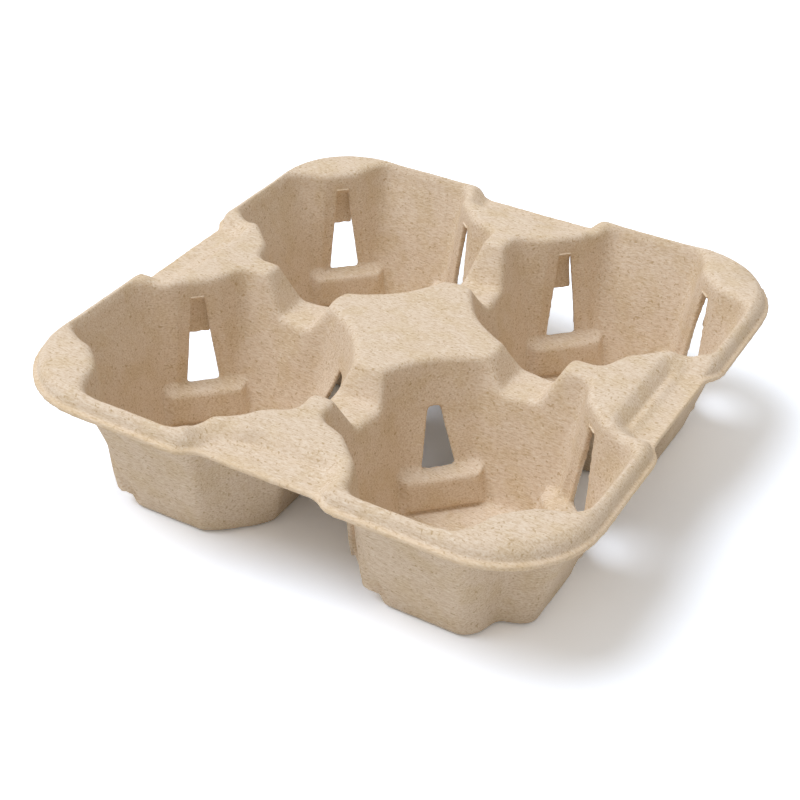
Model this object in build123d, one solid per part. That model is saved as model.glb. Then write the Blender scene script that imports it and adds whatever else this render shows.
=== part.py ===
# Moulded pulp cup carrier: one thin shell with four cup wells.
#
# Frame: millimetres, +Z up, origin at the middle of the tray on the surface that it stands on.
#
# The shell is the room between two forms, as in the tool that moulds it. The upper form has
# the faces that show from above. The lower form is the same shape, one wall further in.

import os
from math import atan2, degrees, sqrt

from build123d import *

# The whole tray
TRAY_WIDTH = 216.0          # over the trimmed lip
WALL = 2.0                  # thickness of the pulp
LIP_CORNER_RADIUS = 36.0
LIP_TOP = 53.5              # height of the lip's upper face
LIP_WIDTH = 2.0             # how far the lip stands out from the rolled rim
RIM_TOP = 59.0              # height of the rim beside the wells
RIM_ROLL = 4.5              # radius of the rolled rim

# The middle of each side, where the flange is low and drawn in
SIDE_FLAT = 46.0            # length of the low flange
SIDE_SLOPE = 6.0            # run of its end slopes
SIDE_RECESS = 4.0           # how far the lip is drawn in
SIDE_BEND = 8.0             # radius of the bends of its outline
SIDE_CORNER = 7.0           # radius of its inner corners, seen from above

# The humps, saddles and plateau between the wells
HUMP_OUTER = 90.0           # from the tray's middle to where the hump's outer face starts
HUMP_OUTER_SLOPE = 3.0      # run of that face
HUMP_INNER = 62.0           # from the tray's middle to where the hump's top starts
SADDLE_TOP = 44.0
SADDLE_SLOPE = 8.0          # run of the slopes at both ends of a saddle
PLATEAU_TOP = 55.0
PLATEAU_REACH = 31.5        # from the tray's middle to a corner of the plateau
DECK_ROUND = 3.0            # radius of the bends between these faces

# A cup well, measured from its own axis, each at the floor and at the rim
WELL_PITCH = 104.0
WELL_FLAT = (32.0, 47.5)    # to the four faces square to the tray
WELL_BEND = (6.0, 6.0)      # radius of the upright bends
FLOOR_ROUND = 3.5
MOUTH_ROUND = 3.0
# An outer corner: where its first bend lies along the square face, how far its panel lies from
# the well's axis, and half the width of that panel. A centre corner is one plain chamfer.
CORNER_BEND = (15.0, 20.0)
CORNER_PANEL = (34.5, 42.5)
CORNER_HALF_WIDTH = (6.0, 8.0)
CENTRE_PANEL = (34.5, 48.0)

# The step in a well's corner, each at the floor and at the step's top
STEP_HEIGHT = 13.5
STEP_FRONT = (30.5, 33.0)   # from the well's axis
STEP_HALF_WIDTH = (15.5, 14.5)
STEP_DEPTH = 14.0           # back into the wall
STEP_ROUND = 2.0

# The niche in an outer corner's panel above its step. It fades out below the mouth.
NICHE_LOW = 3.0
NICHE_HIGH = 56.0
NICHE_BACK = (37.6, 42.0)   # from the well's axis, at its bottom and top
NICHE_HALF_WIDTH = (11.0, 9.0)
NICHE_ROUND = 3.0

# The slot through the wall above a step, and the slit that goes on below it to the foot
SLOT_WIDTH = (12.5, 4.5)    # at its bottom and top
SLIT_WIDTH = 15.0           # at the foot
SLOT_TOP = {"outer": 51.0, "centre": 37.0}
SLOT_ROUND = 1.2
SLOT_DEPTH = 20.0           # of the cut, out from just behind the step's front

# Which corners of each well have a slot. Wells and corners are both named by the signs of
# x and y. All of these have a step too, but for one corner at the tray's middle.
SLOTTED = {
    (-1, -1): ((1, 1), (-1, 1), (-1, -1)),
    (1, -1): ((-1, 1), (1, 1), (-1, -1)),
    (1, 1): ((-1, -1), (-1, 1), (1, 1)),
    (-1, 1): ((1, -1), (-1, 1), (1, 1), (-1, -1)),
}
STEPLESS = ((-1, -1), (1, 1))

HALF = TRAY_WIDTH / 2
BEYOND = 20.0               # how far cutters reach past the tray
SPAN = 2 * TRAY_WIDTH       # wider than the tray
TALL = RIM_TOP + BEYOND     # above everything
DEEP = -BEYOND / 2          # below everything
SAME = 0.01                 # heights closer than this are the same
DIAGONAL = sqrt(2)
QUARTERS = [Rot(0, 0, 90 * turn) for turn in range(4)]


def quarter_turned(quarters):
    """Closed face whose outline is four runs of points, each turned a quarter further."""
    points = []
    for turn, quarter in enumerate(quarters):
        for x, y in quarter:
            for _ in range(turn):
                x, y = -y, x
            points.append((x, y))
    return make_face(Polyline(*points, close=True))


def tray_outline(inset):
    """Rounded square, drawn in at the middle of each side."""
    edge = HALF - inset
    deep = edge - SIDE_RECESS
    flat = SIDE_FLAT / 2
    reach = flat + SIDE_SLOPE
    quarter = [(edge, -reach), (deep, -flat), (deep, flat), (edge, reach), (edge, edge)]
    face = quarter_turned([quarter] * 4)
    corners = [v for v in face.vertices() if min(abs(v.X), abs(v.Y)) > reach + 1]
    face = fillet(corners, LIP_CORNER_RADIUS - inset)
    bends = [v for v in face.vertices() if min(abs(v.X), abs(v.Y)) < reach + 1]
    return fillet(bends, SIDE_BEND)


def between(pair, z):
    """Value at height z on a straight line from a (floor, rim) pair."""
    share = (z - WALL) / (RIM_TOP - WALL)
    return pair[0] + share * (pair[1] - pair[0])


def corner_points(centre, z):
    """A well's corner at height z, from its +X face round to its +Y face."""
    flat = between(WELL_FLAT, z)
    if centre:
        start = between(CENTRE_PANEL, z) * DIAGONAL - flat
        return [(flat, start), (start, flat)]
    start = between(CORNER_BEND, z)
    panel = between(CORNER_PANEL, z)
    half = between(CORNER_HALF_WIDTH, z)
    far = (panel + half) / DIAGONAL
    near = (panel - half) / DIAGONAL
    return [(flat, start), (far, near), (near, far), (start, flat)]


def well_section(z, grow):
    face = quarter_turned([corner_points(turn == 2, z) for turn in range(4)])
    if grow:
        face = offset(face, amount=grow, kind=Kind.INTERSECTION)
    return Plane.XY.offset(z) * fillet(face.vertices(), between(WELL_BEND, z))


def well(grow):
    """Room inside the +X +Y well, grown by the wall for the lower form."""
    room = loft([well_section(z, grow) for z in (WALL - grow, TALL)], ruled=True)
    floor = room.faces().sort_by(Axis.Z)[0]
    return Pos(WELL_PITCH / 2, WELL_PITCH / 2, 0) * fillet(floor.edges(), FLOOR_ROUND)


def corner_place(well_signs, corner_signs):
    """Place on a well's axis, with +X towards one of its corners."""
    x, y = (sign * WELL_PITCH / 2 for sign in well_signs)
    return Pos(x, y, 0) * Rot(0, 0, degrees(atan2(corner_signs[1], corner_signs[0])))


def wedge(shrink):
    """The step's block in a +X corner, less the wall on its front, top and ends."""
    sections = []
    for z, front, half in zip((WALL / 2, WALL + STEP_HEIGHT), STEP_FRONT, STEP_HALF_WIDTH):
        plan = Rectangle(STEP_DEPTH, 2 * (half - shrink))
        sections.append(Pos(front + shrink + STEP_DEPTH / 2, 0, z - shrink) * plan)
    return loft(sections, ruled=True)


def step():
    block = wedge(0)
    soft = [e for e in block.edges() if e.center().Z > WALL and e.center().X < STEP_FRONT[1] + WALL / 2]
    return fillet(soft, STEP_ROUND)


def niche(grow):
    """Recess in the panel of a +X corner."""
    sections = []
    for z, back, half in zip((NICHE_LOW, NICHE_HIGH), NICHE_BACK, NICHE_HALF_WIDTH):
        plan = RectangleRounded(STEP_DEPTH + grow, 2 * (half + grow), NICHE_ROUND + grow)
        sections.append(Pos(back + grow - (STEP_DEPTH + grow) / 2, 0, z - grow) * plan)
    return loft(sections, ruled=True)


def pocket(kind):
    """Room behind a step, inside the well's own wall and open below."""
    corner = (1, 1) if kind == "outer" else (-1, -1)
    room = corner_place((1, 1), corner).inverse() * well(0)
    if kind == "outer":
        room += niche(0)
    return (wedge(WALL) + Pos(0, 0, -WALL) * wedge(WALL)) & room


def corner_kind(well_signs, corner_signs):
    return "centre" if corner_signs == (-well_signs[0], -well_signs[1]) else "outer"


def tapered_cut(low, widths, high, start):
    """Prism with a tapered outline, from a place on the corner's +X axis outwards."""
    profile = Polyline(
        (-widths[0] / 2, low),
        (widths[0] / 2, low),
        (widths[1] / 2, high),
        (-widths[1] / 2, high),
        close=True)
    face = make_face(profile)
    face = fillet(face.vertices().sort_by(Axis.Y)[-2:], SLOT_ROUND)
    return extrude(Plane.YZ.offset(start) * face, SLOT_DEPTH)


def side_cutter(grow):
    """Takes the deck down to the low flange, outside the hump on the +X side."""
    outer = HALF + HUMP_OUTER
    faces = []
    for z, inner, half in ((LIP_TOP, HUMP_OUTER + HUMP_OUTER_SLOPE, SIDE_FLAT / 2),
                           (RIM_TOP, HUMP_OUTER, SIDE_FLAT / 2 + SIDE_SLOPE)):
        plan = RectangleRounded(outer - inner + grow, 2 * (half + grow), SIDE_CORNER + grow)
        faces.append(Pos((inner - grow + outer) / 2, 0, z - grow) * plan)
    cutter = loft(faces, ruled=True)
    return fillet(cutter.faces().sort_by(Axis.Z)[0].edges(), DECK_ROUND)


def saddle_cutter(grow):
    """Takes the deck down to the plateau and the saddle on the +X side."""
    plateau = PLATEAU_TOP - grow
    saddle = SADDLE_TOP - grow
    rim = RIM_TOP - grow
    profile = Polyline(
        (-WALL, rim),
        (-WALL, plateau),
        (PLATEAU_REACH - grow, plateau),
        (PLATEAU_REACH + SADDLE_SLOPE - grow, saddle),
        (HUMP_INNER - SADDLE_SLOPE + grow, saddle),
        (HUMP_INNER + grow, rim),
        close=True)
    cutter = extrude(Plane.XZ * make_face(profile), WELL_PITCH / 4, both=True)
    bends = cutter.edges().filter_by(Axis.Y)
    bends = [e for e in bends if e.center().X > 0 and e.center().Z < plateau + WALL / 2]
    return fillet(bends, DECK_ROUND)


def deck_cutter(cutter, grow):
    """Joins a cutter to the room above the rim, with a rounded brow between them."""
    rim = RIM_TOP - grow
    above = Pos(0, 0, (rim + TALL) / 2) * Box(SPAN, SPAN, TALL - rim)
    joined = cutter + above
    brow = [e for e in joined.edges() if abs(e.center().Z - rim) < SAME
            and e.length < HALF and max(abs(e.center().X), abs(e.center().Y)) > HUMP_INNER - WALL]
    return fillet(brow, DECK_ROUND)


def block(face, z):
    """Straight block from below everything up to height z."""
    return extrude(Plane.XY.offset(DEEP) * face, z - DEEP, dir=(0, 0, 1))


def form(lip, grow):
    """The rolled rim, humps, saddles and plateau above a lip of this outline, less the wells."""
    crest = block(tray_outline(LIP_WIDTH + grow), RIM_TOP - grow)
    crest = fillet(crest.faces().sort_by(Axis.Z)[-1].edges(), RIM_ROLL - grow)
    crest += block(lip, LIP_TOP - grow)
    cutters = [deck_cutter(side_cutter(grow), grow), deck_cutter(saddle_cutter(grow), grow), well(grow)]
    return crest - [turn * cutter for cutter in cutters for turn in QUARTERS]


def mouth_edges(shape):
    """Edges where the walls of the wells meet the deck: those that only one wall has."""
    seen = {}
    for face in shape.faces():
        box = face.bounding_box()
        if 0 < box.min.Z < STEP_HEIGHT and box.max.Z > SADDLE_TOP - WALL:
            for edge in face.edges():
                key = tuple(round(value, 3) for value in (*edge.center(), edge.length))
                seen.setdefault(key, []).append(edge)
    return [edges[0] for edges in seen.values() if len(edges) == 1 and edges[0].center().Z > STEP_HEIGHT]


# The two forms, with the niches and steps in the wells
places = [(well_signs, corner) for well_signs, corners in SLOTTED.items() for corner in corners]
stepped = [place for place in places if place != STEPLESS]
recessed = [place for place in stepped if corner_kind(*place) == "outer"]
upper = form(tray_outline(0), 0)
upper = fillet(mouth_edges(upper), MOUTH_ROUND)
upper -= [corner_place(*place) * niche(0) for place in recessed]
upper += [corner_place(*place) * step() for place in stepped]
lower = form(Rectangle(SPAN, SPAN), WALL)
lower -= [corner_place(*place) * niche(WALL) for place in recessed]

# The cuts: the pockets behind the steps, the slots above them and the slits below
top_of_step = WALL + STEP_HEIGHT
pockets = {kind: pocket(kind) for kind in SLOT_TOP}
cuts = []
for place in places:
    slot = tapered_cut(top_of_step, SLOT_WIDTH, SLOT_TOP[corner_kind(*place)], STEP_FRONT[1] + WALL / 4)
    cuts.append(corner_place(*place) * slot)
for place in stepped:
    slit = tapered_cut(-WALL, (SLIT_WIDTH, SLOT_WIDTH[0]), STEP_HEIGHT, STEP_FRONT[1] + WALL)
    cuts += [corner_place(*place) * part for part in (pockets[corner_kind(*place)], slit)]
cup_carrier = upper - [lower, *cuts]

os.makedirs("parts", exist_ok=True)
export_step(cup_carrier, "parts/cup_carrier.step")
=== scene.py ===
# %% [markdown]
# # A moulded pulp cup carrier
#
# The carrier is pressed from wet paper pulp between two forms and then dried, so it is one thin
# shell with soft bends, a rough skin and a trimmed lip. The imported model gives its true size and
# shape. This script gives it the softness and the surface of real pulp, and then sets up the
# camera and the light.

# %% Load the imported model
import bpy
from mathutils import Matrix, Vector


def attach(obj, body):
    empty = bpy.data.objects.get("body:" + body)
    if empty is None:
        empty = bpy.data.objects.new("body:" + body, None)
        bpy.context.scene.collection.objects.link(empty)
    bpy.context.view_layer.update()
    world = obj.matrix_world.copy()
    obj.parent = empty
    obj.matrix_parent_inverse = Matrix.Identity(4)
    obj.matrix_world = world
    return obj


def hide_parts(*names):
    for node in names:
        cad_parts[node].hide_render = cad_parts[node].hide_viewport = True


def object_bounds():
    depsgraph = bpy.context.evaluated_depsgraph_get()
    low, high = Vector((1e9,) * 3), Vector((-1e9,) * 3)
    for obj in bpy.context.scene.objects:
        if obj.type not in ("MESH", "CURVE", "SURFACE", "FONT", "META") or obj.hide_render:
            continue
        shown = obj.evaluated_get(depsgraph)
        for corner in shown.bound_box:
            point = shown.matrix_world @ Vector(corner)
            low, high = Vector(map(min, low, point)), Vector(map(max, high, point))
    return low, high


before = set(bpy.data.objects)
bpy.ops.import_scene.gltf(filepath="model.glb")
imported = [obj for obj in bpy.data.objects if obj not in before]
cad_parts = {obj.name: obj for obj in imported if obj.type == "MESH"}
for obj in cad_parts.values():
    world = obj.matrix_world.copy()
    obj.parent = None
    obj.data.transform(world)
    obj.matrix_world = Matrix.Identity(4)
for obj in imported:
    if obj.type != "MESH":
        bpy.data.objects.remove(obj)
cad_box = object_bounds()
print("size in mm:", [round(1000 * side, 1) for side in cad_box[1] - cad_box[0]])

# %% Modules, the unit and new objects
import math

import bpy
import numpy as np
from mathutils import Matrix, Vector, noise

MM = 0.001
scene = bpy.context.scene


def mm(*sizes):
    return tuple(size * MM for size in sizes)


def new_object(name, data):
    piece = bpy.data.objects.new(name, data)
    scene.collection.objects.link(piece)
    return piece


# %% [markdown]
# ## The soft shell
#
# On the real carrier no bend is sharp, because the fibres settle in a layer of even thickness.
# Bevels on a tangle of lofted faces break easily, and a subdivision cage would need a new model.
# A voxel remesh rebuilds the whole shell from small even faces instead. A few rounds of smoothing
# then soften every bend alike, the way that wet pulp does.

# %% A helper that makes a modifier's result the mesh itself
def settle(piece, kind, **settings):
    modifier = piece.modifiers.new(kind.title(), kind)
    for name, value in settings.items():
        setattr(modifier, name, value)
    shown = piece.evaluated_get(bpy.context.evaluated_depsgraph_get())
    mesh = bpy.data.meshes.new_from_object(shown)
    piece.modifiers.clear()
    piece.data = mesh


# %% Remesh the shell
VOXEL = 0.6 * MM
shell = new_object("pulp_shell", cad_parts["cup_carrier"].data.copy())
settle(shell, "REMESH", mode="VOXEL", voxel_size=VOXEL)
print("faces after the remesh:", len(shell.data.polygons))


# %% Read and write all vertices at once
def numbers(piece, name):
    """The places or normals of all vertices, as rows of three numbers."""
    flat = np.empty(3 * len(piece.data.vertices))
    piece.data.vertices.foreach_get(name, flat)
    return flat.reshape(-1, 3)


def put(piece, places):
    piece.data.vertices.foreach_set("co", places.ravel())
    piece.data.update()


# %% Smooth it, and note how far each vertex moves
SMOOTHING_ROUNDS = 9
SMOOTHING_FACTOR = 0.5
sharp = numbers(shell, "co")
settle(shell, "SMOOTH", factor=SMOOTHING_FACTOR, iterations=SMOOTHING_ROUNDS)
moved = np.linalg.norm(numbers(shell, "co") - sharp, axis=1)
print("moved by up to", round(moved.max() / MM, 2), "mm")

# %% [markdown]
# ## Small pressed forms
#
# The pressing tool has more shallow forms, none deeper than 5 mm. They could be sculpted by hand,
# but a formula gives every well the same form and is easy to change. Each function below takes
# the places of all vertices and returns how far its form moves each of them. The moves are added
# up and made together, so both faces of the shell follow and it keeps its thickness.

# %% Smooth rises, falls and hills
def ease(value, start, end):
    """Rises smoothly from 0 at the start to 1 at the end."""
    part = np.clip((value - start) / (end - start), 0, 1)
    return part * part * (3 - 2 * part)


def fade(value, start, end):
    """Falls smoothly from 1 at the start to 0 at the end."""
    return 1 - ease(value, start, end)


def hill(value, middle, width):
    return np.exp(-((value - middle) / width) ** 2 / 2)


# %% Where a place lies in a well
# Wells and their corners are both named by the signs of x and y. These corners have a step.
STEPPED = {
    (-1, -1): ((-1, 1), (-1, -1)),
    (1, -1): ((-1, 1), (1, 1), (-1, -1)),
    (1, 1): ((-1, -1), (-1, 1), (1, 1)),
    (-1, 1): ((1, -1), (-1, 1), (1, 1), (-1, -1)),
}
STEPS = [(well, corner) for well, corners in STEPPED.items() for corner in corners]
WELL_AXIS = 52 * MM
UP = (0, 0, 1)


def directions(corner):
    """Level directions towards a well's corner and to the left of it."""
    ahead = np.array((*corner, 0)) / math.sqrt(2)
    return ahead, np.array((-ahead[1], ahead[0], 0))


def from_well(places, well, corner):
    """How far each place lies from a well's axis towards a corner, and how far to the side."""
    from_axis = places - WELL_AXIS * np.array((*well, 0))
    return [from_axis @ direction for direction in directions(corner)]


def towards(corner, push):
    """Moves of the given lengths towards a well's corner."""
    return np.outer(push, directions(corner)[0])


print("wells:", len(STEPPED), "with steps:", len(STEPS))

# %% How far a place lies from the trimmed edge
# The tray's outline has round corners, and each side is drawn in at its middle.
HALF_WIDTH = round(cad_box[1][0], 4)
LIP_CORNER = 36 * MM
SIDE_RECESS = 4 * MM
SIDE_BEND = mm(23, 29)
BESIDE_WELL = mm(27, 38)


def from_edge(places):
    """Distance in from the lip's edge, and distance along the side from its middle."""
    x, y = abs(places[:, 0]), abs(places[:, 1])
    across, along = np.maximum(x, y), np.minimum(x, y)
    straight = HALF_WIDTH - SIDE_RECESS * fade(along, *SIDE_BEND) - across
    centre = HALF_WIDTH - LIP_CORNER
    rounded = LIP_CORNER - np.hypot(np.maximum(x - centre, 0), np.maximum(y - centre, 0))
    return np.where(along > centre, rounded, straight), along


# %% The bowed walls beside the plateau
BOW = 2.6 * MM
BOW_HALF_WIDTH = 15 * MM
BOW_SIDES = mm(20, 30)
BOW_START = mm(20, 30)
BOW_END = mm(52, 71)
BOW_HEIGHT = mm(16, 36)


def bows(places):
    """The walls bow away from their cups, which gives the middle its star-shaped top."""
    moves = np.zeros_like(places)
    for well in STEPPED:
        corner = (-well[0], -well[1])
        out, side = from_well(places, well, corner)
        push = BOW * np.cos(math.pi / 2 * side / BOW_HALF_WIDTH) * fade(abs(side), *BOW_SIDES)
        push *= ease(places[:, 2], *BOW_HEIGHT) * fade(out, *BOW_END) * ease(out, *BOW_START)
        moves += towards(corner, push)
    return moves


# %% The flute in the front right foot
FLUTE = 4.6 * MM
FLUTE_MIDDLE = 1.5 * MM
FLUTE_WIDTH = 4.6 * MM
FLUTE_START = mm(15, 26)
FLUTE_TOP = mm(36, 52)


def flute(places):
    """An upright flute stiffens the foot's outer corner."""
    well = corner = (1, -1)
    out, side = from_well(places, well, corner)
    push = FLUTE * hill(side, FLUTE_MIDDLE, FLUTE_WIDTH) * ease(out, *FLUTE_START)
    return towards(corner, -push * fade(places[:, 2], *FLUTE_TOP))


# %% A groove and a bead along each low flange
# The distance of each from the tray's middle, its width and its rise
BEADS = (mm(90.3, 1.4, -1.3), mm(94.4, 1.3, 1.0))
BEAD_END = mm(17, 27)
BEAD_HEIGHT = mm(45, 50)


def beads(places):
    lift = np.zeros(len(places))
    for across, along in ((0, 1), (1, 0)):
        on_flange = fade(abs(places[:, along]), *BEAD_END) * ease(places[:, 2], *BEAD_HEIGHT)
        for middle, width, rise in BEADS:
            lift += rise * hill(abs(places[:, across]), middle, width) * on_flange
    return np.outer(lift, UP)


# %% The rim's inner brow
BROW_SINK = 1.6 * MM
BROW_INWARD = 9 * MM
BROW_WIDTH = 2.8 * MM
BROW_END = mm(62, 73)
BROW_HEIGHT = mm(48, 57)


def brow(places):
    """The rim falls a little towards the cups."""
    inward, along = from_edge(places)
    sink = ease(along, *BESIDE_WELL) * fade(along, *BROW_END)
    sink *= hill(inward, BROW_INWARD, BROW_WIDTH)
    return np.outer(-BROW_SINK * sink * ease(places[:, 2], *BROW_HEIGHT), UP)


# %% The outer walls of the mouths
MOUTH_OUT = 2.2 * MM
MOUTH_START = mm(4, 9)
MOUTH_END = mm(14, 24)
MOUTH_HEIGHT = mm(30, 55)
NEAREST_SIDE = (0.72, 0.95)


def mouths(places):
    """Each mouth is a little wider towards the tray's sides."""
    inward, along = from_edge(places)
    push = MOUTH_OUT * ease(along, *BESIDE_WELL) * ease(inward, *MOUTH_START)
    push *= fade(inward, *MOUTH_END) * ease(places[:, 2], *MOUTH_HEIGHT)
    flat = places * (1, 1, 0)
    nearest = ease(abs(flat) / abs(flat).max(axis=1)[:, None], *NEAREST_SIDE)
    return push[:, None] * nearest * np.sign(flat)


# %% One wider corner
WIDE = 4 * MM
WIDE_WIDTH = 9 * MM
WIDE_START = mm(32, 40)
WIDE_END = mm(50, 62)
WIDE_HEIGHT = mm(28, 50)


def wide_corner(places):
    """One corner of the front left mouth reaches further out than the rest."""
    well, corner = (-1, -1), (1, -1)
    out, side = from_well(places, well, corner)
    push = WIDE * hill(side, 0, WIDE_WIDTH) * ease(places[:, 2], *WIDE_HEIGHT)
    return towards(corner, push * ease(out, *WIDE_START) * fade(out, *WIDE_END))


# %% The raised edges of the feet
FOOT_LIFT = 5 * MM
FOOT_SIDES = mm(12, 15)
FOOT_START = mm(32.5, 35)
FOOT_END = mm(46, 56)
FOOT_HEIGHT = mm(1, 14)


def feet(places):
    """Behind a step, the foot's lower edge doesn't reach the table."""
    lift = np.zeros(len(places))
    for well, corner in STEPS:
        out, side = from_well(places, well, corner)
        part = fade(places[:, 2], *FOOT_HEIGHT) * fade(abs(side), *FOOT_SIDES)
        lift += FOOT_LIFT * part * ease(out, *FOOT_START) * fade(out, *FOOT_END)
    return np.outer(lift, UP)


# %% The fronts of the steps
STEP_OUT = 2.4 * MM
STEP_SIDES = mm(14.5, 17)
STEP_START = mm(25, 29)
STEP_END = mm(35, 40)
STEP_FOOT = mm(1.5, 4.5)
STEP_TOP = mm(15.5, 18)


def steps(places):
    """The steps stand well out from their corners, into the room of the cups."""
    moves = np.zeros_like(places)
    for well, corner in STEPS:
        out, side = from_well(places, well, corner)
        push = STEP_OUT * fade(abs(side), *STEP_SIDES) * ease(out, *STEP_START)
        push *= fade(out, *STEP_END) * fade(places[:, 2], *STEP_TOP)
        moves += towards(corner, -push * ease(places[:, 2], *STEP_FOOT))
    return moves


# %% Press all the forms into the shell
places = numbers(shell, "co")
moves = np.zeros_like(places)
for form in (bows, flute, beads, brow, mouths, wide_corner, feet, steps):
    move = form(places)
    moves += move
    print(form.__name__, "up to", round(np.linalg.norm(move, axis=1).max() / MM, 1), "mm")
put(shell, places + moves)

# %% [markdown]
# ## Uneven pulp
#
# Dried pulp is never quite flat: it warps gently over a few centimetres and is lumpy over a few
# millimetres. The slots are torn more than cut, so their edges wander a little. A Displace
# modifier would do for the first two, but the cut edges have to be found first. Smoothing moved
# those most, which tells them from the rest. All three are moves of the mesh itself, because they
# change the outline, while anything finer is left to the material.

# %% Move the surface along its normals
WARP = {"size": 24 * MM, "depth": 0.22 * MM}
LUMPS = {"size": 4.5 * MM, "depth": 0.08 * MM}
TORN = {"size": 1.8 * MM, "depth": 0.35 * MM}
CUT_MOVES = mm(0.12, 0.24)  # Smoothing moves only cut edges this far.


def wander(places, layer):
    """A smooth random height at each place."""
    near = [noise.noise(place) for place in places / layer["size"]]
    return layer["depth"] * np.array(near)[:, None]


places = numbers(shell, "co")
normals = numbers(shell, "normal")
places += (wander(places, WARP) + wander(places, LUMPS)) * normals
cut_edge = ease(moved, *CUT_MOVES)
edges = np.flatnonzero(cut_edge > 0)
places[edges] += wander(places[edges], TORN) * normals[edges] * cut_edge[edges, None]
put(shell, np.clip(places, *cad_box))
print("vertices at a cut edge:", len(edges), "of", len(moved))

# %% Mark the cut edges and the trimmed lip for the material
LIP_BAND = mm(0.6, 2.0)
marks = {"cut_edge": cut_edge, "lip": fade(from_edge(places)[0], *LIP_BAND)}
for name, values in marks.items():
    layer = shell.data.attributes.new(name, "FLOAT", "POINT")
    layer.data.foreach_set("value", values.astype(np.float32))
    print("vertices marked", name + ":", int((values > 0).sum()))

# %% Thin out the faces where the shell is plain
MOST_TRIANGLES = 175000


def triangles(piece):
    return sum(len(face.vertices) - 2 for face in piece.data.polygons)


def shade_smooth(piece):
    piece.data.polygons.foreach_set("use_smooth", [True] * len(piece.data.polygons))


before = triangles(shell)
settle(shell, "DECIMATE", ratio=min(1, MOST_TRIANGLES / before))
put(shell, np.clip(numbers(shell, "co"), *cad_box))
shade_smooth(shell)
print("triangles:", before, "thinned to", triangles(shell))

# %% [markdown]
# ## Torn flaps
#
# Through the upper part of most slots the photograph shows a dark strip with a torn lower edge. It
# is read here as the tongue of pulp that was cut free and bent out behind the slot, where it hangs
# from the slot's top. It could be cut from the shell itself, but a separate strip is simpler. Each
# is a grid of points with a thickness, a little thinner than the wall.

# %% Sizes of the flaps, in millimetres
# The well and the corner of each slot that shows one
FLAPS = (
    ((-1, -1), (-1, 1)),
    ((-1, 1), (-1, 1)),
    ((-1, 1), (1, 1)),
    ((1, 1), (-1, 1)),
    ((1, 1), (1, 1)),
    ((1, -1), (1, 1)),
)
# A flap's line from its top down, as the distance from the well's axis and the height
FLAP_LINE = ((41.0, 52.0), (43.6, 51.0), (45.4, 48.0), (45.8, 43.0), (45.4, 38.5), (44.8, 34.5))
FLAP_HALF_WIDTH = (2.6, 4.6)
FLAP_THICKNESS = 1.1
FLAP_COLUMNS = 9
TEAR = 0.5
TEAR_PITCH = 1.3


# %% Hang a flap behind each of those slots
def flap_points(well, corner):
    ahead, aside = directions(corner)
    points = []
    for row, (out, high) in enumerate(FLAP_LINE):
        half = np.interp(row, (0, len(FLAP_LINE) - 1), FLAP_HALF_WIDTH)
        tear = TEAR if row == len(FLAP_LINE) - 1 else 0
        for side in np.linspace(-half, half, FLAP_COLUMNS):
            rough = noise.noise((side * TEAR_PITCH, row, 7.0 * well[0] + corner[0]))
            level = WELL_AXIS * np.array((*well, 0)) + MM * (out * ahead + side * aside)
            points.append((level[0], level[1], MM * (high + tear * rough)))
    return points


def flap(well, corner):
    starts = [row * FLAP_COLUMNS + column
              for row in range(len(FLAP_LINE) - 1) for column in range(FLAP_COLUMNS - 1)]
    faces = [(start, start + 1, start + FLAP_COLUMNS + 1, start + FLAP_COLUMNS) for start in starts]
    mesh = bpy.data.meshes.new("flap")
    mesh.from_pydata(flap_points(well, corner), [], faces)
    piece = new_object("flap", mesh)
    settle(piece, "SOLIDIFY", thickness=FLAP_THICKNESS * MM, offset=0)
    settle(piece, "SUBSURF", levels=2)
    shade_smooth(piece)
    return piece


flaps = [flap(well, corner) for well, corner in FLAPS]
print("flaps:", len(flaps), "with", sum(triangles(piece) for piece in flaps), "triangles")

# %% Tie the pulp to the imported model
for piece in (shell, *flaps):
    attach(piece, "root")
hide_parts("cup_carrier")
print("pieces of pulp:", 1 + len(flaps))

# %% [markdown]
# ## Moulded pulp
#
# Unbleached pulp is a mat of short brown and cream fibres with no coating. The eye reads it from
# three things: a warm sand colour with soft blotches, a fine felt of fibres that lie every way,
# and no shine at all. A picture of pulp would show seams and repeats, so all of these come from
# noise at the size of the real thing. Cellulose has an IOR of about 1.5, and so rough a mat has a
# roughness near 1. Where the lip was trimmed and the slots were torn, the inside of the mat shows.

# %% Colours and a helper that adds a node
def linear(hex_colour):
    """Linear red, green, blue and alpha of an sRGB hex colour."""
    channels = [int(hex_colour[i:i + 2], 16) / 255 for i in (1, 3, 5)]
    return [c / 12.92 if c <= 0.04045 else ((c + 0.055) / 1.055) ** 2.4 for c in channels] + [1]


def add(tree, kind, settings=None, *inputs, **links):
    """Adds a node. Settings are its own. Inputs, in order or by name, are values or sockets."""
    node = tree.nodes.new(kind)
    for name, value in (settings or {}).items():
        setattr(node, name, value)
    named = [(node.inputs[name.replace("_", " ")], value) for name, value in links.items()]
    for socket, value in [*zip(node.inputs, inputs), *named]:
        if isinstance(value, bpy.types.NodeSocket):
            tree.links.new(value, socket)
        else:
            socket.default_value = value
    return node


def combine(tree, operation, *values):
    return add(tree, "ShaderNodeMath", {"operation": operation}, *values).outputs[0]


# %% The pulp material and its helpers
PULP = linear("#E0CEB9")
PULP_BLOTCH = linear("#D6C1A2")
PULP_DARK = linear("#B3986F")
PULP_LIGHT = linear("#F3EADB")
PULP_TORN = linear("#EBD2AC")

pulp = bpy.data.materials.new("unbleached_moulded_pulp")
pulp.use_nodes = True
mat = pulp.node_tree
skin = mat.nodes["Principled BSDF"]
place = add(mat, "ShaderNodeTexCoord").outputs["Object"]


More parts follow.
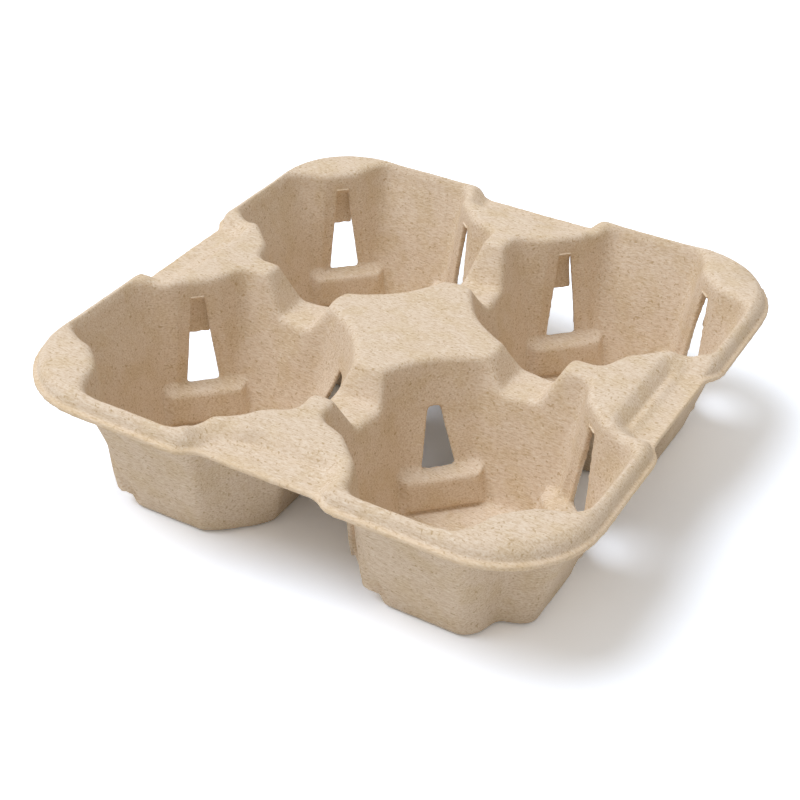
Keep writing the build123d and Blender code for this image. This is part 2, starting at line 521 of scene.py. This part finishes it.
def clouds(size, detail, roughness, vector=place):
    """Soft noise about 0.5. The size is that of its lumps in millimetres."""
    return add(mat, "ShaderNodeTexNoise", Vector=vector, Scale=1 / (size * MM),
               Detail=detail, Roughness=roughness).outputs["Fac"]


def share(value, start, end, most):
    """Turns a value between start and end into a share from 0 up to the most."""
    return add(mat, "ShaderNodeMapRange", None, value, start, end, 0.0, most).outputs["Result"]


def tint(colour, other, amount):
    return add(mat, "ShaderNodeMixRGB", None, amount, colour, other).outputs["Color"]


# %% A felt of fibres that lie every way
FIBRE = 0.50
FIBRE_STRETCH = 4.0
TURNS = ((0.3, 0.5, 0.2), (1.2, -0.4, 1.1), (-0.5, 1.0, 2.3))
felt = clouds(size=0.6, detail=2.0, roughness=0.6)
for turn in TURNS:
    lie = add(mat, "ShaderNodeMapping", Vector=place, Rotation=turn, Scale=(1 / FIBRE_STRETCH, 1, 1))
    fibres = clouds(size=FIBRE, detail=1.0, roughness=0.5, vector=lie.outputs["Vector"])
    felt = combine(mat, "ADD", felt, fibres)
felt = combine(mat, "MULTIPLY", felt, 1 / (1 + len(TURNS)))

# %% The colour: blotches, dark and light fibres, and specks
blotches = clouds(size=11, detail=3.0, roughness=0.55)
specks = clouds(size=1.1, detail=0.0, roughness=0.5)
# The colour and the pattern of each layer, where the pattern starts and ends, and its share
LAYERS = (
    (PULP_BLOTCH, blotches, 0.45, 0.62, 0.60),
    (PULP_DARK, felt, 0.50, 0.36, 0.55),
    (PULP_LIGHT, felt, 0.50, 0.64, 0.55),
    (PULP_DARK, specks, 0.72, 0.78, 0.60),
)
colour = PULP
for other, pattern, start, end, most in LAYERS:
    colour = tint(colour, other, share(pattern, start, end, most))

# %% The torn mat at the edges
TORN_SHARE = 0.25
on_edge = [add(mat, "ShaderNodeAttribute", {"attribute_name": name}).outputs["Fac"] for name in marks]
torn = combine(mat, "MULTIPLY", combine(mat, "MAXIMUM", *on_edge), TORN_SHARE)
mat.links.new(tint(colour, PULP_TORN, torn), skin.inputs["Base Color"])

# %% The surface: no shine, and a fine felted bump
SURFACE = {"Roughness": 0.95, "IOR": 1.5, "Specular IOR Level": 0.25}
BUMP_STRENGTH = 0.6
BUMP_DEPTH = 0.30 * MM
for name, value in SURFACE.items():
    skin.inputs[name].default_value = value
bump = add(mat, "ShaderNodeBump", Height=felt, Strength=BUMP_STRENGTH, Distance=BUMP_DEPTH)
mat.links.new(bump.outputs["Normal"], skin.inputs["Normal"])
for piece in (shell, *flaps):
    piece.data.materials.clear()
    piece.data.materials.append(pulp)
print("nodes in the pulp:", len(mat.nodes))

# %% [markdown]
# ## The camera
#
# The camera stands where the photograph was taken from, in front of the carrier and to its right.
# A long lens keeps the far side of the tray almost as large as the near one. Its place and turn
# could be found by eye, but they were fitted to points of the photograph, which is far closer.

# %% Place the camera
CAMERA_PLACE = Vector((240.4, -437.4, 364.4)) * MM
CAMERA_YAW = math.radians(29.35)
CAMERA_PITCH = math.radians(-34.55)
CAMERA_ROLL = math.radians(1.32)
LENS = 72.15
LEVEL = math.pi / 2  # A camera that isn't turned looks straight down.

camera = new_object("camera", bpy.data.cameras.new("camera"))
camera.data.lens = LENS
camera.location = CAMERA_PLACE
turn = (Matrix.Rotation(CAMERA_YAW, 4, "Z") @ Matrix.Rotation(LEVEL + CAMERA_PITCH, 4, "X")
        @ Matrix.Rotation(CAMERA_ROLL, 4, "Z"))
camera.rotation_euler = turn.to_euler()
scene.camera = camera
print("camera's distance in mm:", round(CAMERA_PLACE.length / MM))

# %% [markdown]
# ## Floor and light
#
# The carrier stands on white paper in a soft studio light. A sun lamp as wide as a large soft box
# gives every part of the floor the same light, and the world fills the shadows. More light would
# turn the paper white, but would bleach the pulp too. The paper is brighter for the camera alone
# instead, and a little bluer, because its shadows are warm. To the pulp it stays plain paper.

# %% The floor
FLOOR_REACH = 4.0
PAPER = [0.82, 0.82, 0.82, 1]
PAPER_SEEN = [1.38, 1.49, 1.66, 1]

floor_mesh = bpy.data.meshes.new("floor")
floor_corners = [(x * FLOOR_REACH, y * FLOOR_REACH, 0) for x, y in ((-1, -1), (1, -1), (1, 1), (-1, 1))]
floor_mesh.from_pydata(floor_corners, [], [(0, 1, 2, 3)])
floor = new_object("floor", floor_mesh)

paper = bpy.data.materials.new("white_paper_sweep")
paper.use_nodes = True
sheet = paper.node_tree
sheet.nodes.remove(sheet.nodes["Principled BSDF"])
to_camera = add(sheet, "ShaderNodeLightPath").outputs["Is Camera Ray"]
real, seen = [add(sheet, "ShaderNodeBsdfDiffuse", Color=colour).outputs[0] for colour in (PAPER, PAPER_SEEN)]
choice = add(sheet, "ShaderNodeMixShader", None, to_camera, real, seen)
sheet.links.new(choice.outputs[0], sheet.nodes["Material Output"].inputs["Surface"])
floor_mesh.materials.append(paper)
print("floor in m:", 2 * FLOOR_REACH)

# %% The lamp
SUN_FROM = Vector((-0.60, -0.34, 1.35))
SUN_STRENGTH = 1.95
SUN_COLOUR = (0.97, 1.0, 1.05)
SUN_WIDTH = math.radians(40)

sun = new_object("soft_box", bpy.data.lights.new("soft_box", "SUN"))
sun.data.energy = SUN_STRENGTH
sun.data.color = SUN_COLOUR
sun.data.angle = SUN_WIDTH
sun.rotation_euler = SUN_FROM.to_track_quat("Z", "Y").to_euler()
print("sun's height in degrees:", round(90 - math.degrees(SUN_FROM.angle(Vector(UP)))))

# %% The world
ROOM_COLOUR = [1, 0.93, 0.84, 1]
ROOM_STRENGTH = 0.50
WHITE = [1, 1, 1, 1]

world = bpy.data.worlds.new("studio")
scene.world = world
world.use_nodes = True
sky = world.node_tree
sky.nodes.clear()
rays = add(sky, "ShaderNodeLightPath").outputs
room = add(sky, "ShaderNodeBackground", Color=ROOM_COLOUR, Strength=ROOM_STRENGTH)
white = add(sky, "ShaderNodeBackground", Color=WHITE, Strength=1.0)
shows = rays["Is Camera Ray"]
for kind in ("Is Glossy Ray", "Is Transmission Ray"):
    shows = combine(sky, "MAXIMUM", shows, rays[kind])
choice = add(sky, "ShaderNodeMixShader", None, shows, room.outputs[0], white.outputs[0])
add(sky, "ShaderNodeOutputWorld", None, choice.outputs[0])
scene.view_settings.view_transform = "Standard"
